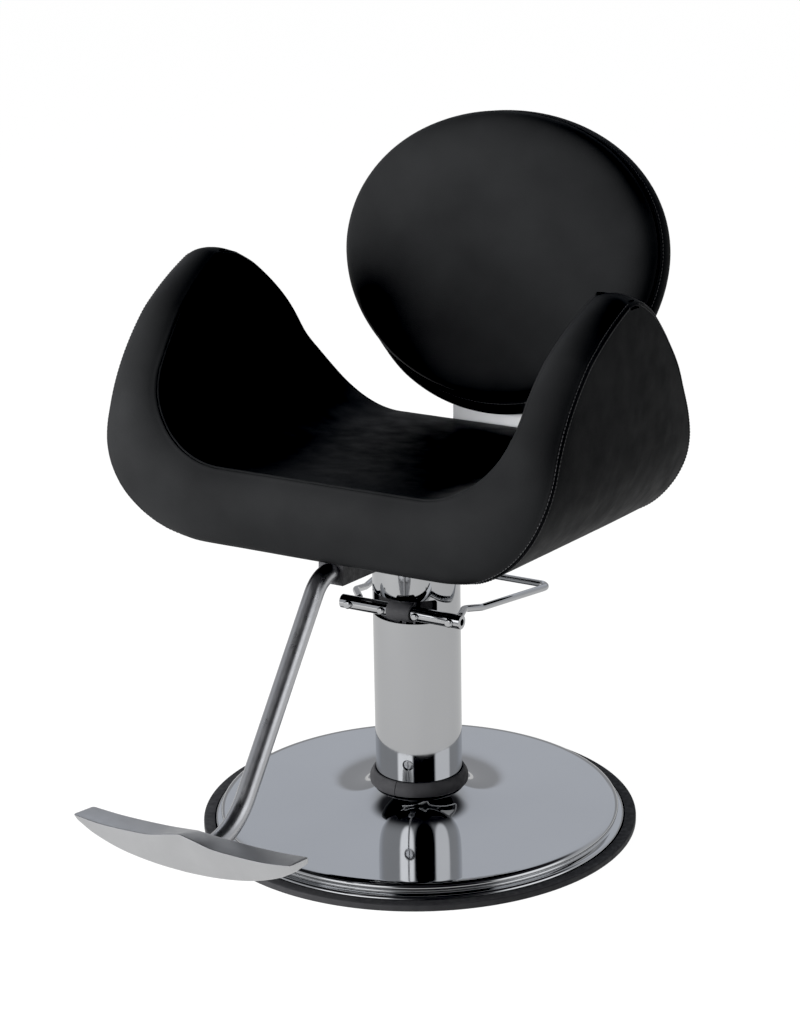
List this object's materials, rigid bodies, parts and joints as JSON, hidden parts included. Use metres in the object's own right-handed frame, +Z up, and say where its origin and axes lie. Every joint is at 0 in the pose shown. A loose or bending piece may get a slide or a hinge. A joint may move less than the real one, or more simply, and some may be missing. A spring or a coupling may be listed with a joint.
{
  "type": "hydraulic styling chair",
  "caption": "Salon styling chair: padded shell seat with curved arms, separate oval backrest, bent footrest bar with cast plate, hydraulic column with wire pump lever, round chromed base.",
  "frame": {"origin": "on the floor, on the axis of the column", "axes": "+Z up, -Y the way the sitter faces, +X to the sitter's left"},
  "size_m": [0.66, 0.917, 0.9382],
  "materials": {
    "rubber": "matt black rubber",
    "chrome": "polished chrome",
    "satin_aluminium": "satin metal",
    "steel": "zinc plated steel",
    "cast_iron": "black painted casting",
    "bronze": "plain bearing bronze",
    "black_leather": "black leather-look vinyl over foam, fine grain",
    "plywood": "plain plywood",
    "grey_steel": "matt grey painted steel",
    "black_plastic": "matt black"
  },
  "bodies": {
    "base": {"floor_ring": "rubber", "base_plate": "steel", "base_cover": "chrome", "base_bolt_1": "steel", "base_bolt_2": "steel", "base_bolt_3": "steel", "base_bolt_4": "steel", "column_ring": "rubber", "column_sleeve": "chrome", "sleeve_screw": "steel", "slot_shield": "black_plastic", "cylinder_body": "cast_iron", "guide_bush": "bronze", "ram_seal": "rubber", "gland_cap": "cast_iron", "lever_pin": "steel", "return_spring": "steel"},
    "pump_lever": {"lever_yoke": "cast_iron", "crossbar": "chrome", "bar_collar": "rubber", "lever_loop": "chrome", "loop_bolt_left": "chrome", "loop_bolt_right": "chrome", "yoke_bolt_left": "chrome", "yoke_bolt_right": "chrome"},
    "plunger": {"pump_plunger": "steel"},
    "ram_assembly": {"ram": "chrome", "piston": "steel", "piston_seal": "rubber", "thrust_washer": "bronze"},
    "seat_assembly": {"arm_board_left": "plywood", "arm_board_right": "plywood", "back_board": "plywood", "back_bolt_1": "steel", "back_bolt_2": "steel", "back_bolt_3": "steel", "back_bolt_4": "steel", "back_bracket": "grey_steel", "back_pad": "black_leather", "back_shell": "black_leather", "bracket_bolt_1": "steel", "bracket_bolt_2": "steel", "edge_band": "black_leather", "footplate": "satin_aluminium", "footrest_socket": "cast_iron", "footrest_tube": "steel", "mount_bolt_1": "steel", "mount_bolt_2": "steel", "mount_bolt_3": "steel", "mount_bolt_4": "steel", "mount_plate": "cast_iron", "outer_shell": "black_leather", "seat_board": "plywood", "seat_lining": "black_leather", "socket_bolt_1": "steel", "socket_bolt_2": "steel", "swivel_hub": "cast_iron"}
  },
  "joints": [
    {"name": "lift", "type": "slide", "parent": "base", "child": "ram_assembly", "axis": [0, 0, 1], "range_m": [0, 0.15]},
    {"name": "swivel", "type": "hinge", "parent": "ram_assembly", "child": "seat_assembly", "pos_m": [0, 0, 0.4], "axis": [0, 0, 1], "continuous": true},
    {"name": "pump_stroke", "type": "hinge", "parent": "base", "child": "pump_lever", "pos_m": [0.017, -0.044, 0.331], "axis": [-1, 0, 0], "range_deg": [0, 22], "stiffness_Nm_per_rad": 8, "springref_deg": -17.19},
    {"name": "plunger_travel", "type": "slide", "parent": "base", "child": "plunger", "axis": [0, 0, -1], "range_m": [0, 0.007], "deforming": ["return_spring"]}
  ],
  "couplings": [
    {"joint": "plunger_travel", "follows": "pump_stroke", "m_per_rad": 0.0165}
  ]
}
